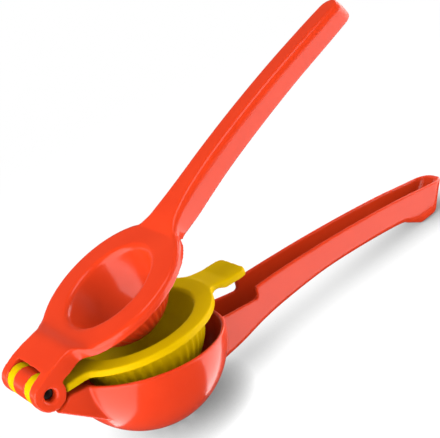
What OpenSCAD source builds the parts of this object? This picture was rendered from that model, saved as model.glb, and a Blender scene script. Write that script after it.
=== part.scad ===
// Hinged citrus squeezer: two nested cups and a press on one pin.
// Every casting is drawn closed, with the hinge axis on Y and the handles along +X,
// then turned open about that axis and laid on the table as it stands by itself.

/* [Hinge] */
// Width of the hinge over the two outer ears
hinge_w = 33; // [30:0.5:40]
// Thickness of one ear of the press
ear_t = 5.5; // [4:0.25:7]
// Width of the middle knuckle of the lemon cup
mid_knuckle_w = 10.6; // [8:0.2:12]
// Radius of the press ears
ear_r = 6.8; // [6:0.1:8]
// Radius of the knuckles of both cups
knuckle_r = 6.5; // [5.5:0.1:7]
// Diameter of the hinge pin
pin_d = 5; // [4:0.25:6]
// Depth of each pin end below the face of its ear
pin_recess = 3.5; // [1:0.25:4]
// Radial running clearance of the pin in both cups
pin_gap = 0.05; // [0.02:0.01:0.1]
// Side gap between neighbouring knuckles
side_gap = 0.2; // [0.1:0.05:0.4]
// Radial room that each casting leaves round its neighbours' knuckles
knuckle_room = 1.5; // [1:0.1:2]

/* [Lemon cup] */
// Distance from the hinge axis to the middle of the cups
cup_x = 48.5; // [46:0.5:54]
// Outer radius of the lemon cup
cup_r = 36; // [34:0.5:40]
// Wall of the lemon cup at its rim
cup_wall = 2; // [1.6:0.1:3]
// Extra thickness of the lemon cup at its bottom
cup_floor_extra = 0.8; // [0.4:0.1:1.5]
// Depth of the rim below the hinge axis
rim_drop = 4; // [4:0.1:5]
// Width of the neck between hinge and cup
neck_w = 31; // [26:0.5:33]
// Thickness of the neck under the hinge axis
neck_t = 7.9; // [7:0.1:9]
// Slope of the underside of the neck, in degrees
neck_slope = 34; // [28:1:40]
// Radius of the drain holes of both cups
drain_r = 1.6; // [1:0.1:2]
// Distance between the rings of drain holes
drain_pitch = 6.3; // [5:0.1:7]

/* [Lime insert] */
// Outer radius of the insert's ring
insert_ring_r = 34.4; // [33:0.1:36]
// Thickness of the insert's ring, hinge plate and tab
insert_t = 3.2; // [2.5:0.1:3.6]
// Gap between the ring and the rim below it when closed
insert_gap = 0.5; // [0.3:0.1:1]
// Outer radius of the insert's cup
insert_cup_r = 27.8; // [26:0.2:29]
// Wall of the insert's cup
insert_wall = 2; // [1.8:0.1:3]
// Rounding of the insert's mouth
insert_lip = 1.2; // [0.6:0.1:1.6]
// Width of the insert's hinge plate
insert_plate_w = 30; // [26:0.5:32]
// Width of the thumb tab
tab_w = 20.8; // [16:0.4:24]
// Distance from the hinge axis to the end of the thumb tab
tab_end = 100.5; // [98:0.5:106]
// Drop of the thumb tab below the ring
tab_drop = 1.6; // [0.5:0.1:1.8]
// Corner radius at the end of the thumb tab
tab_corner = 3.2; // [1:0.2:5]
// Radius of the inner corners where the hinge plate and the tab leave the ring
root_round = 4; // [2:0.5:6]
// Number of flutes round the insert's cup
insert_flutes = 44; // [24:4:56]

/* [Press] */
// Outer radius of the press ring
press_ring_r = 35; // [33:0.1:37]
// Thickness of the press ring
press_ring_t = 4.1; // [3:0.1:5]
// Gap between the press ring and the insert's ring, hinge side, when closed
press_gap = 0.4; // [0.3:0.1:1]
// Radius of the rounded upper edge of the press ring
press_ring_round = 2; // [1:0.1:2.5]
// Outer radius of the dome that presses the fruit
dome_r = 23.4; // [20:0.2:24]
// Height of the dome's centre above the ring's underside
dome_rise = 2.4; // [0:0.2:2.8]
// Wall of the dome at its bottom
dome_wall = 2.6; // [2:0.1:3.5]
// Wall of the dome where it leaves the ring
dome_rim = 3.7; // [3:0.1:4.5]
// Height of the middle of the dome's hollow above its ring; more gives it more draft
dome_taper = 21; // [8:1:30]
// Rounding of the ring where it turns down into the dome
dome_lip = 3; // [1:0.1:3.5]
// Height of the press arms above the hinge axis
arm_h = 7.4; // [6.8:0.1:9]
// Length of the thick part of the press arms, from the hinge axis
arm_len = 16; // [13:0.5:18]
// Length of the slope from the arms down to the ring
arm_fall = 11; // [8:0.5:12]
// Radius of the inner corners where the arms meet the ring
arm_round = 3; // [2:0.5:5]
// Number of flutes round the dome
dome_flutes = 40; // [24:4:48]

/* [Flutes] */
// Width of one flute rib
flute_w = 1.3; // [0.8:0.1:1.5]
// Height of one flute rib above its cup
flute_h = 0.6; // [0.3:0.1:0.9]

/* [Lower handle] */
// Distance from the hinge axis to the end of the lower handle
lower_len = 217; // [195:1:240]
// Width of the lower handle half way along
lower_w = 16.4; // [14:0.2:19]
// Depth of the lower handle below the hinge axis where it leaves the cup
root_drop = 24.8; // [22:0.5:26]
// Height of the lower handle's rim above the hinge axis at its end
rim_rise = 6.3; // [4:0.1:8]
// Depth of its underside below the hinge axis just before the hook
under_drop = 5.9; // [5:0.1:8]
// Depth of the hook under the end of the lower handle
hook_h = 4.2; // [2:0.2:6]
// Length of the flat foot under the hook
foot_len = 7.5; // [4:0.5:9]
// How far the end of the handle leans back down to its foot
end_lean = 8; // [4:0.5:10]
// Room below the thumb tab in its notch
notch_room = 0.6; // [0.4:0.1:1.5]
// Room beyond the end of the thumb tab in its notch
notch_end_room = 2.5; // [1:0.25:4]

/* [Upper handle] */
// Distance from the hinge axis to the end of the upper handle
upper_len = 207.5; // [185:0.5:230]
// Width of the upper handle half way along
upper_w = 13.4; // [11:0.2:16]
// Rise of the upper handle above the top of the ring
upper_rise = 9.5; // [7:0.1:12]
// Rounding of the upper handle's long edges
upper_round = 3; // [1:0.25:4]

/* [Handle channels] */
// Wall of both channel-shaped handles
handle_wall = 2; // [1.6:0.1:2.6]
// Thickness of the floor of both channels
handle_floor = 2.5; // [2:0.1:3.2]

/* [Pose] */
// Angle of the insert above the lemon cup as it stands
insert_open = 7; // [4:0.5:12]
// Angle of the press above the lemon cup as it stands
press_open = 26; // [22:0.5:34]

/* [Hidden] */
$fn = 96;
eps = 0.01;
red = [0.93, 0.24, 0.13];
yellow = [0.91, 0.72, 0.05];
steel = [0.66, 0.67, 0.69];

// Heights of the closed stack, measured from the hinge axis
insert_bottom = -rim_drop + insert_gap;
insert_top = insert_bottom + insert_t;
press_bottom = insert_top + press_gap;
press_top = press_bottom + press_ring_t;

// Hinge, from the middle outwards
mid_y = mid_knuckle_w / 2;
side_y0 = mid_y + side_gap;
ear_y = hinge_w / 2 - ear_t;
side_y1 = ear_y - side_gap;
pin_r = pin_d / 2;
pin_half = hinge_w / 2 - pin_recess;
room_r = ear_r + knuckle_room;
slot_r = knuckle_r + knuckle_room + 0.4;
plate_room_r = ear_r + 0.8;
mouth_r = pin_r + 0.9;
mouth_t = 0.8;

// Where the handles leave the cup and the ring, and the notch for the thumb tab
cup_end = cup_x + cup_r;
ring_end = cup_x + press_ring_r;
tab_root = cup_x + insert_ring_r - 4;
tab_bottom = insert_bottom - tab_drop;
notch_z = tab_bottom - notch_room;
notch_end = tab_end + notch_end_room;

// The foot under the hook and the cup's round bottom touch the same table
foot_round = 2.5;
foot_x = lower_len - end_lean - foot_len - foot_round;
foot_z = -under_drop - hook_h;
cup_to_foot = [foot_x - cup_x, foot_z + rim_drop];
tilt = asin(cup_r / norm(cup_to_foot)) + atan2(cup_to_foot[1], cup_to_foot[0]);
lift_z = cup_r + cup_x * sin(tilt) + rim_drop * cos(tilt);
front_x = lower_len * cos(tilt) + rim_rise * sin(tilt);
mid_x = (front_x - ear_r) / 2;

// Stations of the lower handle from cup to hook: part of the way along, part of the
// rise of its underside, part of the rise of its rim, and extra half width
lower_shape = [
    [0, 0, 0, 2.8],
    [0.12, 0.18, 0.19, 2.1],
    [0.25, 0.42, 0.36, 0.9],
    [0.39, 0.62, 0.55, 0.3],
    [0.59, 0.84, 0.76, 0],
    [0.81, 0.96, 0.92, -0.2],
    [1, 1, 1, -0.4]
];

// Stations of the upper handle where it leaves the ring: distance beyond the ring,
// underside above the ring's, part of the rise of its top, and extra half width
upper_root = [
    [-7.5, -1.5, -0.08, 14],
    [-3.5, -1.8, 0.07, 8.4],
    [0, -2, 0.2, 4.8],
    [4.5, -2.3, 0.32, 3.1],
    [11.5, -2.5, 0.45, 1.6]
];
// The same further out, the distance now as part of the way to the end
upper_shape = [
    [0.1, -1.5, 0.61, 0.5],
    [0.23, 0.1, 0.77, 0.1],
    [0.43, 1.8, 0.92, 0],
    [0.66, 3, 1, 0],
    [0.88, 3.3, 0.99, 0],
    [1, 3.5, 0.96, -0.1]
];

// ---------- sections and lofts of the handles ----------

// One step of a smooth curve through rows of numbers
function curve(a, b, c, d, t) =
    0.5 * (2 * b + (c - a) * t + (2 * a - 5 * b + 4 * c - d) * t * t
        + (3 * b - a - 3 * c + d) * t * t * t);

// Smooth rows through a table of rows, with n steps between neighbours
function smooth_rows(rows, n) = [
    for (i = [0:len(rows) - 2]) for (k = [0:n - 1])
        curve(rows[max(i - 1, 0)], rows[i], rows[i + 1],
            rows[min(i + 2, len(rows) - 1)], k / n),
    rows[len(rows) - 1]
];

// A quarter round about [y, z], from angle a0, as n + 1 points
function quarter(y, z, r, a0, n = 5) = [
    for (k = [0:n]) [y + r * cos(a0 + 90 * k / n), z + r * sin(a0 + 90 * k / n)]
];

// Closed outline in Y and Z with its own roundings below and above
function outline(w, z0, z1, r0, r1) = concat(
    quarter(w - r1, z1 - r1, r1, 0), quarter(r1 - w, z1 - r1, r1, 90),
    quarter(r0 - w, z0 + r0, r0, 180), quarter(w - r0, z0 + r0, r0, 270)
);

// Solid through outlines of equal length; each row is [x above, x below, z0, z1, w]
module loft(rows, r0, r1) {
    rings = [for (s = rows)
        let (h = s[3] - s[2], lim = min(s[4], h / 2) - eps)
        [for (p = outline(s[4], s[2], s[3], min(r0, lim), min(r1, lim)))
            [s[1] + (s[0] - s[1]) * (p[1] - s[2]) / h, p[0], p[1]]]];
    n = len(rings[0]);
    m = len(rings);
    polyhedron(
        points = [for (ring = rings) for (p = ring) p],
        faces = concat(
            [[for (k = [0:n - 1]) k]],
            [[for (k = [n - 1:-1:0]) (m - 1) * n + k]],
            [for (i = [0:m - 2]) for (k = [0:n - 1])
                [i * n + k, (i + 1) * n + k, (i + 1) * n + (k + 1) % n]],
            [for (i = [0:m - 2]) for (k = [0:n - 1])
                [i * n + k, (i + 1) * n + (k + 1) % n, i * n + (k + 1) % n]]
        )
    );
}

// Rows of the rounded end of a handle that stops at x above and x below, starting
// from row s; its underside goes on at the slope and rounds up by z, and its sides
// draw in by r
function end_rows(s, x_above, x_below, slope, z, r, n = 6) = [
    for (k = [1:n]) let (a = 84 * k / n, f = sin(a) / sin(84), g = 1 - cos(a))
        [s[0] + (x_above - s[0]) * f, s[1] + (x_below - s[1]) * f,
         s[2] + slope * (x_below - s[1]) * f + z * g, s[3], s[4] - r * g]
];

// Lower handle: a deep open channel that ends in a hook; inset takes its wall off
function lower_rows(inset, rise) = let (
    w = lower_w / 2 - inset,
    x0 = cup_end - 7.5,
    x1 = foot_x - 12,
    body = [for (s = lower_shape) let (x = x0 + (x1 - x0) * s[0])
        [x, x, -root_drop + (root_drop - under_drop) * s[1] + rise,
         -rim_drop + (rim_rise + rim_drop) * s[2], w + s[3]]],
    hook = [
        [foot_x - 1, foot_x - 7, -under_drop - hook_h * 0.35 + rise, rim_rise, w - 0.5],
        [foot_x + 6 - inset / 2, foot_x, foot_z + rise, rim_rise, w - 0.6]
    ],
    straight = [lower_len - 7 - inset / 2, foot_x + foot_len - inset / 2,
        foot_z + foot_len * tan(tilt) + rise, rim_rise, w - 0.6]
) concat(smooth_rows(concat(body, hook), 5), [straight],
    end_rows(straight, lower_len - inset, lower_len - end_lean - inset, tan(tilt), 1.6,
        w - 2.6));

// Upper handle: a channel open below, flat and narrow, that rises from the ring
function upper_rows(inset, drop) = let (
    w = upper_w / 2 - inset,
    x0 = ring_end + 11.5,
    x1 = upper_len - 6 - inset / 2,
    root = [for (s = upper_root) concat(ring_end + s[0], s)],
    body = [for (s = upper_shape) concat(x0 + (x1 - x0) * s[0], s)],
    rows = [for (s = concat(root, body))
        [s[0], s[0], press_bottom + s[2], press_top + upper_rise * s[3] - drop, w + s[4]]],
    last = rows[len(rows) - 1]
) concat(smooth_rows(rows, 4),
    end_rows(last, upper_len - 1 - inset, upper_len - inset, 0, 0.6, w - 1.6));

// ---------- shared shapes ----------

// Cylinder along Y between two heights
module barrel(r, y0, y1) {
    translate([0, y1, 0]) rotate([90, 0, 0]) cylinder(r = r, h = y1 - y0);
}

// Side outline in X and Z, extruded along Y between two heights
module side_block(y0, y1) {
    translate([0, y1, 0]) rotate([90, 0, 0]) linear_extrude(y1 - y0) children();
}

// Fills the inner corners where a bar of half width h leaves a disc of radius r,
// towards the hinge when dir is -1 and away from it when dir is 1
module root_fillets(r, h, fillet, dir) {
    far = r + fillet;
    run = sqrt(pow(far, 2) - pow(h + fillet, 2));
    inside = (r - 2) / far;
    for (side = [-1, 1]) translate([cup_x, 0]) scale([dir, side]) difference() {
        polygon([[run, h - 2], [run, h + fillet], [run * inside, (h + fillet) * inside]]);
        translate([run, h + fillet]) circle(r = fillet);
    }
}

// Cuts a rounded mouth of radius r at the upper face z of a ring
module round_mouth(r, z, lip) {
    rotate_extrude() difference() {
        translate([0, z - lip]) square([r + lip, lip + 1]);
        translate([r + lip, z - lip]) circle(r = lip);
    }
}

// Ribs down the outside of a round cup, from its upper edge to where they would touch
module flutes(count, r) {
    inner_r = count * flute_w / 5;
    for (i = [0.5:count]) rotate([0, 0, 360 * i / count])
        side_block(-flute_w / 2, flute_w / 2) difference() {
            intersection() {
                circle(r = r + flute_h);
                translate([inner_r, -r - flute_h]) square([r, r + flute_h]);
            }
            circle(r = r - 1);
        }
}

// Round drain holes: one in the middle and two rings of them
module drain_holes(h) {
    cylinder(r = drain_r, h = h);
    for (ring = [1:2]) for (i = [0:6 * ring - 1]) rotate([0, 0, 60 * i / ring])
        translate([ring * drain_pitch, 0, 0]) cylinder(r = drain_r, h = h);
}

// Turns a closed casting open about the hinge and lays it on the table
module stand(open) {
    translate([-mid_x, 0, lift_z]) rotate([0, tilt - open, 0]) children();
}

// ---------- castings ----------

// Lower casting: round cup, neck, middle knuckle and channel handle with its hook
module lemon_cup() color(red) stand(0) {
    difference() {
        union() {
            translate([cup_x, 0, -rim_drop]) cup_body();
            difference() {
                lemon_neck();
                barrel(room_r, -neck_w, -mid_y);
                barrel(room_r, mid_y, neck_w);
            }
            barrel(knuckle_r, -mid_y, mid_y);
            lower_handle();
        }
        translate([cup_x, 0, -rim_drop + cup_floor_extra])
            sphere(r = cup_r - cup_wall);
        barrel(pin_r + pin_gap, -neck_w, neck_w);
        translate([cup_x, 0, -rim_drop - cup_r - 1]) drain_holes(cup_r / 2);
    }
}

// Solid half ball with the round rim of the lemon cup
module cup_body() {
    rim_r = cup_wall / 2;
    difference() {
        sphere(r = cup_r);
        translate([0, 0, cup_r - rim_r]) cube(2 * cup_r, center = true);
    }
    rotate_extrude() translate([cup_r - rim_r, -rim_r]) circle(r = rim_r);
}

// Wedge from the hinge to the cup; its middle third reaches in to the knuckle
module lemon_neck() {
    end = cup_x - 0.7 * cup_r;
    under = [for (x = [0, end]) [x, -neck_t - x * tan(neck_slope)]];
    touch = [-knuckle_r * sin(neck_slope), -knuckle_r * cos(neck_slope)];
    side_block(-neck_w / 2, neck_w / 2)
        polygon([[0, -rim_drop], under[0], under[1], [end, -rim_drop]]);
    side_block(-mid_y, mid_y)
        polygon([[0, -rim_drop], touch, under[0], [neck_t, -neck_t], [neck_t, -rim_drop]]);
}

module lower_handle() {
    difference() {
        loft(lower_rows(0, 0), 2.6, 0.8);
        loft([for (s = lower_rows(handle_wall, handle_floor))
            [s[0], s[1], s[2], s[3] + 3, s[4]]], 1.6, 0.2);
        side_block(-lower_w, lower_w) polygon([
            [cup_x, notch_z], [notch_end - 1, notch_z], [notch_end, notch_z + 1],
            [notch_end, rim_rise + 1], [cup_x, rim_rise + 1]]);
    }
}

// Inner casting: flat ring, fluted cup, hinge plate with two knuckles, thumb tab
module lime_insert() color(yellow) stand(insert_open) {
    bore_r = insert_cup_r - insert_wall;
    difference() {
        union() {
            translate([cup_x, 0, insert_bottom]) {
                cylinder(r = insert_ring_r, h = insert_t);
                difference() {
                    sphere(r = insert_cup_r);
                    translate([0, 0, insert_cup_r]) cube(2 * insert_cup_r, center = true);
                }
                flutes(insert_flutes, insert_cup_r);
            }
            insert_plate();
            insert_tab();
        }
        translate([cup_x, 0, insert_bottom + 1]) {
            sphere(r = bore_r);
            round_mouth(sqrt(pow(bore_r, 2) - pow(insert_t - 1 - insert_lip, 2)),
                insert_t - 1, insert_lip);
        }
        barrel(pin_r + pin_gap, -hinge_w, hinge_w);
        translate([cup_x, 0, insert_bottom - insert_cup_r - 1])
            drain_holes(insert_cup_r / 2);
    }
}

// Flat plate from the ring to the hinge, cut free of the neighbouring knuckles
module insert_plate() {
    difference() {
        translate([0, 0, insert_bottom]) linear_extrude(insert_t) difference() {
            union() {
                translate([0, -insert_plate_w / 2])
                    square([cup_x - 0.7 * insert_ring_r, insert_plate_w]);
                root_fillets(insert_ring_r, insert_plate_w / 2, root_round, -1);
            }
            translate([cup_x, 0]) circle(r = insert_ring_r - 2.5);
        }
        barrel(plate_room_r, -hinge_w, -side_y1);
        barrel(plate_room_r, -side_y0, side_y0);
        barrel(plate_room_r, side_y1, hinge_w);
    }
    barrel(knuckle_r, -side_y1, -side_y0);
    barrel(knuckle_r, side_y0, side_y1);
}

// Thumb tab: it steps down beyond the rim of the lemon cup
module insert_tab() {
    corner_x = tab_end - tab_corner;
    corner_y = tab_w / 2 - tab_corner;
    intersection() {
        translate([0, 0, -insert_cup_r]) linear_extrude(2 * insert_cup_r) {
            translate([tab_root, -tab_w / 2]) square([corner_x - tab_root, tab_w]);
            translate([corner_x, -corner_y]) square([tab_corner, 2 * corner_y]);
            for (side = [-1, 1]) translate([corner_x, side * corner_y])
                circle(r = tab_corner);
            root_fillets(insert_ring_r, tab_w / 2, root_round, 1);
        }
        side_block(-tab_w, tab_w) polygon([
            [tab_root, insert_top], [tab_root, insert_bottom],
            [cup_end + 0.5, insert_bottom], [cup_end + 4, tab_bottom],
            [tab_end, tab_bottom], [tab_end, tab_bottom + insert_t],
            [cup_end + 6, tab_bottom + insert_t], [cup_end - 4, insert_top]]);
    }
}

// Upper casting: ring, hollow dome, two eared arms and a channel handle
module press() color(red) stand(press_open) {
    difference() {
        union() {
            translate([cup_x, 0, press_bottom]) {
                press_ring();
                translate([0, 0, dome_rise]) {
                    difference() {
                        sphere(r = dome_r);
                        translate([0, 0, dome_r]) cube(2 * dome_r, center = true);
                    }
                    flutes(dome_flutes, dome_r);
                }
            }
            press_arms();
            upper_handle();
        }
        translate([cup_x, 0, press_bottom]) dome_hollow();
        barrel(pin_r, -hinge_w, hinge_w);
        for (side = [-1, 1]) scale([1, side, 1])
            translate([0, hinge_w / 2 - mouth_t, 0]) rotate([-90, 0, 0])
                cylinder(r1 = pin_r, r2 = mouth_r, h = mouth_t + eps);
    }
}

// Hollow of the dome: a deep half egg that runs out in the rounded mouth of the ring
module dome_hollow() {
    deep = dome_taper + dome_r - dome_rise - dome_wall;
    wide = (dome_r - dome_rim) / sqrt(1 - pow(dome_taper / deep, 2));
    meet_z = press_ring_t - dome_lip * 0.7;
    start = asin((dome_taper - meet_z) / deep);
    draft = atan(wide / deep * tan(start));
    lip_x = wide * cos(start) + dome_lip * cos(draft);
    lip_z = press_ring_t - dome_lip;
    rotate_extrude() polygon(concat(
        [[0, press_ring_t + 1], [lip_x, press_ring_t + 1]],
        [for (k = [0:6]) let (a = 90 + (90 - draft) * k / 6)
            [lip_x + dome_lip * cos(a), lip_z + dome_lip * sin(a)]],
        [for (k = [1:15]) let (a = start + (90 - start) * k / 15)
            [wide * cos(a), dome_taper - deep * sin(a)]]
    ));
}

// Flat disc with a rounded upper edge
module press_ring() {
    rotate_extrude() difference() {
        square([press_ring_r, press_ring_t]);
        translate([press_ring_r - press_ring_round, press_ring_t - press_ring_round])
            difference() {
                square(press_ring_round + 1);
                circle(r = press_ring_round);
            }
    }
}

// Side of the press in plan, from the ears round the inner corner to the ring
function arm_plan() = let (
    r = press_ring_r - 0.03,
    y = hinge_w / 2 + arm_round,
    x = cup_x - sqrt(pow(r + arm_round, 2) - pow(y, 2)),
    turn = atan2(y, cup_x - x),
    last = acos((cup_x - arm_len - arm_fall) / r)
) concat(
    [[-ear_r, hinge_w / 2]],
    [for (k = [0:5]) let (a = -90 + (90 - turn) * k / 5)
        [x + arm_round * cos(a), y + arm_round * sin(a)]],
    [for (k = [1:9]) let (a = turn + (last - turn) * k / 9)
        [cup_x - r * cos(a), r * sin(a)]],
    [[cup_x - r * cos(last), 0]]
);

// Ears and arms; their flat top slopes down across the near side of the ring
module press_arms() {
    steps = 8;
    fall_z = press_top - press_ring_round;
    fall = [for (k = [0:steps]) [arm_len + arm_fall * k / steps,
        fall_z + (arm_h - fall_z) * (1 + cos(180 * k / steps)) / 2]];
    plan = arm_plan();
    difference() {
        intersection() {
            side_block(-press_ring_r, press_ring_r) {
                circle(r = ear_r);
                polygon(concat([[0, 0], [0, ear_r], [4, arm_h]], fall,
                    [[arm_len + arm_fall, press_bottom + 1],
                    [arm_len + 5, press_bottom + 1], [arm_len + 4, press_bottom],
                    [ear_r, press_bottom]]));
            }
            translate([0, 0, -ear_r - 1]) linear_extrude(3 * ear_r) polygon(concat(plan,
                [for (k = [len(plan) - 2:-1:0]) [plan[k][0], -plan[k][1]]]));
        }
        barrel(slot_r, -ear_y, ear_y);
    }
}

// Channel open below; the ring and the dome stay clear of it
module upper_handle() {
    difference() {
        loft(upper_rows(0, 0), 0.8, upper_round);
        loft([for (s = upper_rows(handle_wall, handle_floor)) if (s[0] > ring_end + 1)
            [s[0], s[1], s[2] - 3, s[3], s[4]]], 0.2, 1.4);
        translate([cup_x, 0, press_bottom - 20]) cylinder(r = press_ring_r, h = 20);
        translate([cup_x, 0, -10]) cylinder(r = dome_r + 2, h = 30);
    }
}

// Steel pin, pressed into the ears and free in both cups
module hinge_pin() color(steel) stand(press_open)
    barrel(pin_r, -pin_half, pin_half);

lemon_cup();
lime_insert();
press();
hinge_pin();
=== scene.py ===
import math

import bmesh
import bpy
from mathutils import Euler, Matrix, Vector


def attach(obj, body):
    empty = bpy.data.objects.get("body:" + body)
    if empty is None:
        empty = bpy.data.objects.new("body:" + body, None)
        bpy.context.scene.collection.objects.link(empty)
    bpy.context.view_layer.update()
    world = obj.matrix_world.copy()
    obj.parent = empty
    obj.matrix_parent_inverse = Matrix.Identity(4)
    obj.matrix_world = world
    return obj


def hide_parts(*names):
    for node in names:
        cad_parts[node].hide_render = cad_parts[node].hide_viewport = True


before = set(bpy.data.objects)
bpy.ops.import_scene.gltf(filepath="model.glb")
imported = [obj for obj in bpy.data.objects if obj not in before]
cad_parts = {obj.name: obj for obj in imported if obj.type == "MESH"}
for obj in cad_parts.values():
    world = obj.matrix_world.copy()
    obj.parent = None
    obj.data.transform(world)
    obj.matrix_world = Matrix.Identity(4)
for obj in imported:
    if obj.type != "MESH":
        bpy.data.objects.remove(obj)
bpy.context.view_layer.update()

# Lemon cup: the lower casting of aluminium, one piece from the middle knuckle of the hinge
# to the hooked end of its channel-shaped handle. Die-cast, its edges are tumbled soft, and
# it wears a glossy red-orange powder coat inside and out.

CAST_GRAIN = 0.0004       # size of the even faces that a casting is skinned with
ASKEW = Euler((0.6, 0.5, 0.4)).to_matrix()   # keeps its edges off the grid of those faces
SAME_CORNER = 1e-6        # corners of a solid that are nearer than this are one
FACE_BUDGET = 190000      # triangles of a casting once its even faces are merged
SOFTENING = 0.5           # how far one round of tumbling moves a point
CUP_ROUNDS = 12           # how long the cup is tumbled

RED = (0.87, 0.053, 0.01, 1)
RED_DEEP = (0.83, 0.047, 0.0085, 1)
THROWN = (0.38, 0.32, 0.26, 1)   # how little of a coat's colour falls on its neighbours
COAT_IOR = 1.5
DRIFT_SCALE = 45          # patches to the metre of the drifts in a coat's colour
DRIFT_DEEP, DRIFT_PLAIN = 0.32, 0.68
HAZE_SCALE = 160
HAZE_ROUGHNESS = (0.26, 0.40)
PEEL_SCALE = 700
PEEL_STRENGTH = 0.06
PEEL_DEPTH = 0.00006


def applied(piece):
    """Take a piece's modifiers off it and give it the mesh that they made."""
    mesh = bpy.data.meshes.new_from_object(
        piece.evaluated_get(bpy.context.evaluated_depsgraph_get()))
    piece.modifiers.clear()
    piece.data = mesh
    return mesh


def tumble(form, verts):
    """One round of tumbling of these points."""
    bmesh.ops.smooth_vert(form, verts=verts, factor=SOFTENING,
                          use_axis_x=True, use_axis_y=True, use_axis_z=True)


def ease(form, one_end, other_end, reach, rounds):
    """Let the skin flow within reach of a line, and longest on the line itself."""
    start, along = Vector(one_end), Vector(other_end) - Vector(one_end)
    near = []
    for vert in form.verts:
        part = min(max((vert.co - start).dot(along) / along.length_squared, 0), 1)
        off = (vert.co - start - along * part).length / reach
        if off < 1:
            near.append((off, vert))
    for turn in range(rounds):
        tumble(form, [vert for off, vert in near if off < 1 - turn / rounds])


def casting(node, name, rounds, eased=()):
    """A copy of a casting's solid, skinned with even faces, whose edges are worked soft.

    Each eased place is (one end, other end, reach, rounds), as ease takes them.
    """
    rough = bpy.data.meshes.new(name)
    form = bmesh.new()
    form.from_mesh(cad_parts[node].data)
    bmesh.ops.remove_doubles(form, verts=form.verts, dist=SAME_CORNER)
    bmesh.ops.rotate(form, verts=form.verts, cent=(0, 0, 0), matrix=ASKEW)
    form.to_mesh(rough)
    form.free()
    piece = bpy.data.objects.new(name, rough)
    bpy.context.scene.collection.objects.link(piece)
    skin = piece.modifiers.new("even skin", "REMESH")
    skin.mode = "VOXEL"
    skin.voxel_size = CAST_GRAIN
    skinned = applied(piece)

    form = bmesh.new()
    form.from_mesh(skinned)
    bmesh.ops.rotate(form, verts=form.verts, cent=(0, 0, 0), matrix=ASKEW.transposed())
    for _ in range(rounds):
        tumble(form, form.verts)
    for place in eased:
        ease(form, *place)
    form.to_mesh(skinned)
    form.free()

    merged = piece.modifiers.new("merged faces", "DECIMATE")
    merged.ratio = min(1, FACE_BUDGET / (2 * len(skinned.polygons)))
    applied(piece).shade_smooth()
    return piece


def mottle(nodes, links, place, scale, detail):
    """A noise that lies on the piece, with about scale patches to the metre."""
    noise = nodes.new("ShaderNodeTexNoise")
    noise.inputs["Scale"].default_value = scale
    noise.inputs["Detail"].default_value = detail
    links.new(place.outputs["Object"], noise.inputs["Vector"])
    return noise.outputs["Fac"]


def spread(nodes, links, value, least, most):
    """A value of 0 to 1, spread from least to most."""
    spreader = nodes.new("ShaderNodeMapRange")
    spreader.inputs["To Min"].default_value = least
    spreader.inputs["To Max"].default_value = most
    links.new(value, spreader.inputs["Value"])
    return spreader.outputs["Result"]


def turned_to(nodes, links, amount, colour, other):
    """A changing colour that turns to another, even one by an amount of 0 to 1."""
    turner = nodes.new("ShaderNodeMix")
    turner.data_type = "RGBA"
    turner.inputs["B"].default_value = other
    links.new(amount, turner.inputs["Factor"])
    links.new(colour, turner.inputs["A"])
    return turner.outputs["Result"]


def powder_coat(name, colour, deep, shine, gloss, blur):
    """A powder coat: a colour with faint drifts, a haze and a fine orange peel.

    The shine is its own, and the gloss, with its blur, lies clear on top.
    """
    coat = bpy.data.materials.new(name)
    coat.use_nodes = True
    nodes, links = coat.node_tree.nodes, coat.node_tree.links
    shader = nodes["Principled BSDF"]
    shader.inputs["IOR"].default_value = COAT_IOR
    shader.inputs["Specular IOR Level"].default_value = shine
    shader.inputs["Coat Weight"].default_value = gloss
    shader.inputs["Coat Roughness"].default_value = blur
    shader.inputs["Coat IOR"].default_value = COAT_IOR
    place = nodes.new("ShaderNodeTexCoord")

    drift = mottle(nodes, links, place, DRIFT_SCALE, 3)
    shades = nodes.new("ShaderNodeValToRGB")
    shades.color_ramp.elements[0].position = DRIFT_DEEP
    shades.color_ramp.elements[0].color = deep
    shades.color_ramp.elements[1].position = DRIFT_PLAIN
    shades.color_ramp.elements[1].color = colour
    links.new(drift, shades.inputs["Fac"])
    rays = nodes.new("ShaderNodeLightPath")
    held_back = turned_to(nodes, links, rays.outputs["Is Diffuse Ray"],
                          shades.outputs["Color"], THROWN)
    links.new(held_back, shader.inputs["Base Color"])

    haze = mottle(nodes, links, place, HAZE_SCALE, 4)
    links.new(spread(nodes, links, haze, *HAZE_ROUGHNESS), shader.inputs["Roughness"])

    relief = nodes.new("ShaderNodeBump")
    relief.inputs["Strength"].default_value = PEEL_STRENGTH
    relief.inputs["Distance"].default_value = PEEL_DEPTH
    links.new(mottle(nodes, links, place, PEEL_SCALE, 2), relief.inputs["Height"])
    links.new(relief.outputs["Normal"], shader.inputs["Normal"])
    links.new(relief.outputs["Normal"], shader.inputs["Coat Normal"])
    return coat


red_coat = powder_coat("red_orange_coat", RED, RED_DEEP, shine=0.03, gloss=0.50, blur=0.17)
lemon_cup = casting("lemon_cup", "lemon_cup_casting", CUP_ROUNDS)
lemon_cup.data.materials.clear()
lemon_cup.data.materials.append(red_coat)
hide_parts("lemon_cup")
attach(lemon_cup, "lemon_cup")

# Lime insert: the fluted inner cup with its flat ring, hinge plate and thumb tab, one
# aluminium casting. It drops into the lemon cup for small fruit and turns on the same pin.
# Its golden yellow powder coat is more satin than the red.

YELLOW = (0.86, 0.535, 0.0008, 1)
YELLOW_DEEP = (0.82, 0.505, 0.0006, 1)
INSERT_ROUNDS = 7
TAB_ROOT = ((-0.0184, -0.006, 0.0424), (-0.0184, 0.006, 0.0424), 0.007, 32)

yellow_coat = powder_coat("golden_yellow_coat", YELLOW, YELLOW_DEEP,
                          shine=0.01, gloss=0.015, blur=0.30)
lime_insert = casting("lime_insert", "lime_insert_casting", INSERT_ROUNDS, [TAB_ROOT])
lime_insert.data.materials.clear()
lime_insert.data.materials.append(yellow_coat)
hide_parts("lime_insert")
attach(lime_insert, "lime_insert")

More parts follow.
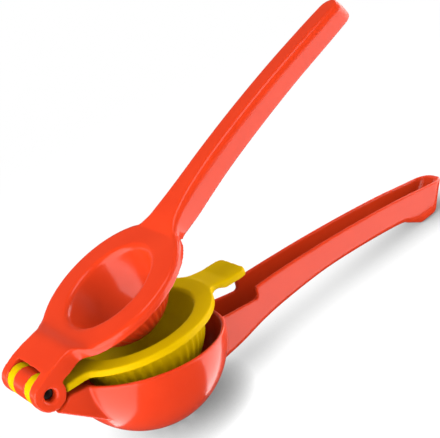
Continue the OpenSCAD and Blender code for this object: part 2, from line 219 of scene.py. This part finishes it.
# Press: the upper casting, with the ring, the fluted hollow dome that pushes into the
# fruit, the two hinge arms and the upper handle. Same aluminium and coat as the lemon cup.

PRESS_ROUNDS = 9
ARM_FOLD = ((-0.0838, -0.013, 0.0600), (-0.0838, 0.013, 0.0600), 0.011, 90)
ARM_CORNERS = [((-0.090, y, 0.0585), (-0.084, y, 0.0595), 0.006, 32)
               for y in (-0.0175, 0.0175)]
HANDLE_ROOTS = [((-0.0258, y, 0.070), (-0.0235, y, 0.070), 0.0055, 80)
                for y in (-0.014, 0.014)]

press = casting("press", "press_casting", PRESS_ROUNDS,
                [ARM_FOLD] + ARM_CORNERS + HANDLE_ROOTS)
press.data.materials.clear()
press.data.materials.append(red_coat)
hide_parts("press")
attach(press, "press")

# Hinge pin: a plain steel rod pressed into the ears of the press, sunk below their faces.
# Its ends are dished and chamfered from turning, and their colour is darkened as painted
# shade, for the shade deep in the ears' holes.

PIN_AXIS = (-0.1035483, 0, 0.0495947)
PIN_RADIUS = 0.0025
PIN_HALF = 0.013
PIN_CHAMFER = 0.0003
PIN_DISH = 0.0004
DISH_LINE = ((0, 1), (0.45, 0.9), (0.75, 0.25), (0.86, 0))   # shares of radius and dish
PIN_FACETS = 64
STEEL_DARK = (0.42, 0.42, 0.44, 1)
STEEL_BRIGHT = (0.66, 0.67, 0.69, 1)
TURNED_SCALE = 900
TURNED_ROUGHNESS = (0.25, 0.50)
# Painted shade: the colour of the pin darkens towards its ends, for the shade that falls
# deep in the ears' holes.
PIN_END_SHADE = (0.035, 0.03, 0.028, 1)
PIN_SHADE_STARTS, PIN_SHADE_FULL = 0.0015, 0.0006   # how deep below the ends it thins out

sheet = bpy.data.meshes.new("hinge_pin_rod")
form = bmesh.new()
end = [(PIN_RADIUS * out, PIN_HALF - PIN_DISH * deep) for out, deep in DISH_LINE]
end.append((PIN_RADIUS, PIN_HALF - PIN_CHAMFER))
line = end + [(r, -y) for r, y in reversed(end)]
verts = [form.verts.new((PIN_AXIS[0] + r, y, PIN_AXIS[2])) for r, y in line]
edges = [form.edges.new(pair) for pair in zip(verts, verts[1:])]
bmesh.ops.spin(form, geom=verts + edges, cent=PIN_AXIS, axis=(0, 1, 0), angle=math.tau,
               steps=PIN_FACETS, use_merge=True)
bmesh.ops.remove_doubles(form, verts=form.verts, dist=1e-7)
bmesh.ops.recalc_face_normals(form, faces=form.faces)
form.to_mesh(sheet)
form.free()
sheet.shade_smooth()
pin = bpy.data.objects.new("hinge_pin_rod", sheet)
bpy.context.scene.collection.objects.link(pin)

steel = bpy.data.materials.new("steel_with_painted_end_shade")
steel.use_nodes = True
nodes, links = steel.node_tree.nodes, steel.node_tree.links
shader = nodes["Principled BSDF"]
shader.inputs["Metallic"].default_value = 1.0
place = nodes.new("ShaderNodeTexCoord")
turned = mottle(nodes, links, place, TURNED_SCALE, 2)
tone = nodes.new("ShaderNodeValToRGB")
tone.color_ramp.elements[0].color = STEEL_DARK
tone.color_ramp.elements[1].color = STEEL_BRIGHT
links.new(turned, tone.inputs["Fac"])
split = nodes.new("ShaderNodeSeparateXYZ")
links.new(place.outputs["Object"], split.inputs["Vector"])
outward = nodes.new("ShaderNodeMath")
outward.operation = "ABSOLUTE"
links.new(split.outputs["Y"], outward.inputs[0])
# The painted shade on the ends: darker the nearer a point lies to either end.
end_shade_mask = nodes.new("ShaderNodeMapRange")
end_shade_mask.inputs["From Min"].default_value = PIN_HALF - PIN_SHADE_STARTS
end_shade_mask.inputs["From Max"].default_value = PIN_HALF - PIN_SHADE_FULL
links.new(outward.outputs["Value"], end_shade_mask.inputs["Value"])
shaded_end_colour = turned_to(nodes, links, end_shade_mask.outputs["Result"], tone.outputs["Color"], PIN_END_SHADE)
links.new(shaded_end_colour, shader.inputs["Base Color"])
links.new(spread(nodes, links, turned, *TURNED_ROUGHNESS), shader.inputs["Roughness"])
sheet.materials.append(steel)
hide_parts("hinge_pin")
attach(pin, "press")

# Studio: a pale floor that keeps the squeezer's soft shadow, most of it painted shadow in
# the floor's own glow, and fades to white further out, a grey room, a tall softbox on
# either side and one overhead, and boards, three of them white and one dark, that only the
# gloss shows.

FLOOR_HALF = 12
FLOOR_DROP = 0.00005      # clear of the foot and the round bottom that stand on it
FLOOR_TONE = 0.8          # as the light on the squeezer has it
SEEN_TONE = 0.08          # as the eye has it, where most of its white is its own glow
SEEN_GLOW = 0.96
SHADE_REACH = 0.0155      # how far off the squeezer still takes from that glow
SHADE_LEAN = (-0.82, 0.20, 0.50)   # the side that the shade falls away from
SHADE_DEPTH = 1.35
SHADE_SAMPLES = 16
FADE_FROM, FADE_TO = 0.16, 0.42

sheet = bpy.data.meshes.new("floor")
form = bmesh.new()
bmesh.ops.create_grid(form, x_segments=1, y_segments=1, size=FLOOR_HALF)
bmesh.ops.translate(form, verts=form.verts, vec=(0, 0, -FLOOR_DROP))
form.to_mesh(sheet)
form.free()
floor = bpy.data.objects.new("floor", sheet)
bpy.context.scene.collection.objects.link(floor)

paper = bpy.data.materials.new("pale_floor")
paper.use_nodes = True
nodes, links = paper.node_tree.nodes, paper.node_tree.links
nodes.clear()
matt = nodes.new("ShaderNodeBsdfDiffuse")
matt.inputs["Color"].default_value = (FLOOR_TONE, FLOOR_TONE, FLOOR_TONE, 1)
dim = nodes.new("ShaderNodeBsdfDiffuse")
dim.inputs["Color"].default_value = (SEEN_TONE, SEEN_TONE, SEEN_TONE, 1)

# Painted shadow: the glow is darkened where ambient occlusion, leaned to one side, finds
# the squeezer close by; the lamps' own shadow on the dim part is faint.
lean = nodes.new("ShaderNodeCombineXYZ")
for axis, part in zip("XYZ", Vector(SHADE_LEAN).normalized()):
    lean.inputs[axis].default_value = part
shade = nodes.new("ShaderNodeAmbientOcclusion")
shade.samples = SHADE_SAMPLES
shade.inputs["Distance"].default_value = SHADE_REACH
links.new(lean.outputs["Vector"], shade.inputs["Normal"])
depth = nodes.new("ShaderNodeMath")
depth.operation = "POWER"
depth.inputs[1].default_value = SHADE_DEPTH
links.new(shade.outputs["AO"], depth.inputs[0])
level = nodes.new("ShaderNodeMath")
level.operation = "MULTIPLY"
level.inputs[1].default_value = SEEN_GLOW
links.new(depth.outputs["Value"], level.inputs[0])
glow = nodes.new("ShaderNodeEmission")
links.new(level.outputs["Value"], glow.inputs["Strength"])
close_by = nodes.new("ShaderNodeAddShader")
links.new(dim.outputs["BSDF"], close_by.inputs[0])
links.new(glow.outputs["Emission"], close_by.inputs[1])

place = nodes.new("ShaderNodeTexCoord")
away = nodes.new("ShaderNodeVectorMath")
away.operation = "LENGTH"
links.new(place.outputs["Object"], away.inputs[0])
fade = nodes.new("ShaderNodeMapRange")
fade.interpolation_type = "SMOOTHSTEP"
fade.inputs["From Min"].default_value = FADE_FROM
fade.inputs["From Max"].default_value = FADE_TO
links.new(away.outputs["Value"], fade.inputs["Value"])
white = nodes.new("ShaderNodeEmission")
faded = nodes.new("ShaderNodeMixShader")
links.new(fade.outputs["Result"], faded.inputs["Fac"])
links.new(close_by.outputs["Shader"], faded.inputs[1])
links.new(white.outputs["Emission"], faded.inputs[2])

rays = nodes.new("ShaderNodeLightPath")
seen = rays.outputs["Is Camera Ray"]
for kind in ("Is Glossy Ray", "Is Transmission Ray"):
    either = nodes.new("ShaderNodeMath")
    either.operation = "MAXIMUM"
    links.new(seen, either.inputs[0])
    links.new(rays.outputs[kind], either.inputs[1])
    seen = either.outputs["Value"]
blend = nodes.new("ShaderNodeMixShader")
links.new(seen, blend.inputs["Fac"])
links.new(matt.outputs["BSDF"], blend.inputs[1])
links.new(faded.outputs["Shader"], blend.inputs[2])
surface = nodes.new("ShaderNodeOutputMaterial")
links.new(blend.outputs["Shader"], surface.inputs["Surface"])
sheet.materials.append(paper)

ROOM_LOW, ROOM_HIGH = (1, 1, 1, 1), (0.16, 0.16, 0.16, 1)
WALL_FROM, WALL_TO = 0.03, 0.12    # how steeply one looks up where the wall greys

room = bpy.data.worlds.new("room")
bpy.context.scene.world = room
room.use_nodes = True
nodes, links = room.node_tree.nodes, room.node_tree.links
way = nodes.new("ShaderNodeTexCoord")
up = nodes.new("ShaderNodeSeparateXYZ")
links.new(way.outputs["Generated"], up.inputs["Vector"])
wall = nodes.new("ShaderNodeValToRGB")
wall.color_ramp.elements[0].position = WALL_FROM
wall.color_ramp.elements[0].color = ROOM_LOW
wall.color_ramp.elements[1].position = WALL_TO
wall.color_ramp.elements[1].color = ROOM_HIGH
links.new(up.outputs["Z"], wall.inputs["Fac"])
links.new(wall.outputs["Color"], nodes["Background"].inputs["Color"])


def soft_lamp(name, place, aim, width, height, power):
    """A softbox at place that points at aim."""
    lamp = bpy.data.lights.new(name, "AREA")
    lamp.shape = "RECTANGLE"
    lamp.size, lamp.size_y = width, height
    lamp.energy = power
    holder = bpy.data.objects.new(name, lamp)
    bpy.context.scene.collection.objects.link(holder)
    holder.location = place
    holder.visible_camera = False
    towards = Vector(aim) - Vector(place)
    holder.rotation_euler = towards.to_track_quat("-Z", "Y").to_euler()
    return holder


soft_lamp("softbox_left", (-0.65, -0.20, 0.35), (0, -0.20, 0.35),
          width=1.0, height=0.7, power=8.2)
side_lamp = soft_lamp("softbox_right", (0.70, -0.25, 0.32), (0, -0.25, 0.32),
                      width=1.3, height=0.64, power=9.0)
side_lamp.visible_glossy = False
soft_lamp("softbox_top", (0, 0.02, 1.0), (0, 0.02, 0),
          width=0.5, height=0.4, power=2.2)

# Painted reflections: the white boards glow only in the gloss and light nothing; the dark
# one is painted shade under and around the squeezer, also seen only in the gloss.
BOARDS = {                # the glow and the corners of each
    "board_left": (3.4, ((-0.088, 0.006, 0.001), (-1, 0.006, 0.001), (-1, -1.34, 0.001),
                         (-0.098, -0.03, 0.001))),
    "board_front": (4.0, ((-0.047, -0.022, 0.001), (1.05, -1.6, 0.001),
                          (1.05, 0.04, 0.001))),
    "board_right": (4.6, ((0.7, -1.1, 0.001), (0.7, -1.1, 0.2), (0.7, -0.02, 0.2),
                          (0.7, -0.02, 0.6), (0.7, 0.45, 0.6), (0.7, 0.45, 0.001))),
    "painted_shade_flag": (0.1, ((-0.4, -0.4, 0.0005), (0.4, -0.4, 0.0005), (0.4, 0.4, 0.0005),
                        (-0.4, 0.4, 0.0005))),
}
for name, (strength, corners) in BOARDS.items():
    card = bpy.data.materials.new(name)
    card.use_nodes = True
    nodes, links = card.node_tree.nodes, card.node_tree.links
    nodes.clear()
    glow = nodes.new("ShaderNodeEmission")
    glow.inputs["Strength"].default_value = strength
    surface = nodes.new("ShaderNodeOutputMaterial")
    links.new(glow.outputs["Emission"], surface.inputs["Surface"])
    sheet = bpy.data.meshes.new(name)
    form = bmesh.new()
    form.faces.new([form.verts.new(corner) for corner in corners])
    form.to_mesh(sheet)
    form.free()
    sheet.materials.append(card)
    board = bpy.data.objects.new(name, sheet)
    bpy.context.scene.collection.objects.link(board)
    board.visible_camera = board.visible_diffuse = board.visible_shadow = False
    board.visible_transmission = False

# Camera: a long lens looking down on the squeezer from the hinge end.

SENSOR_WIDTH = 36
LENS = 99.13

eye = bpy.data.cameras.new("camera")
eye.sensor_width = SENSOR_WIDTH
eye.lens = LENS
camera = bpy.data.objects.new("camera", eye)
bpy.context.scene.collection.objects.link(camera)
camera.matrix_world = Matrix((
    (0.7481, 0.5438, -0.3802, -0.1941),
    (-0.5352, 0.1560, -0.8302, -0.4235),
    (-0.3922, 0.8246, 0.4078, 0.2682),
    (0, 0, 0, 1)))
bpy.context.scene.camera = camera
bpy.context.scene.view_settings.view_transform = "Standard"
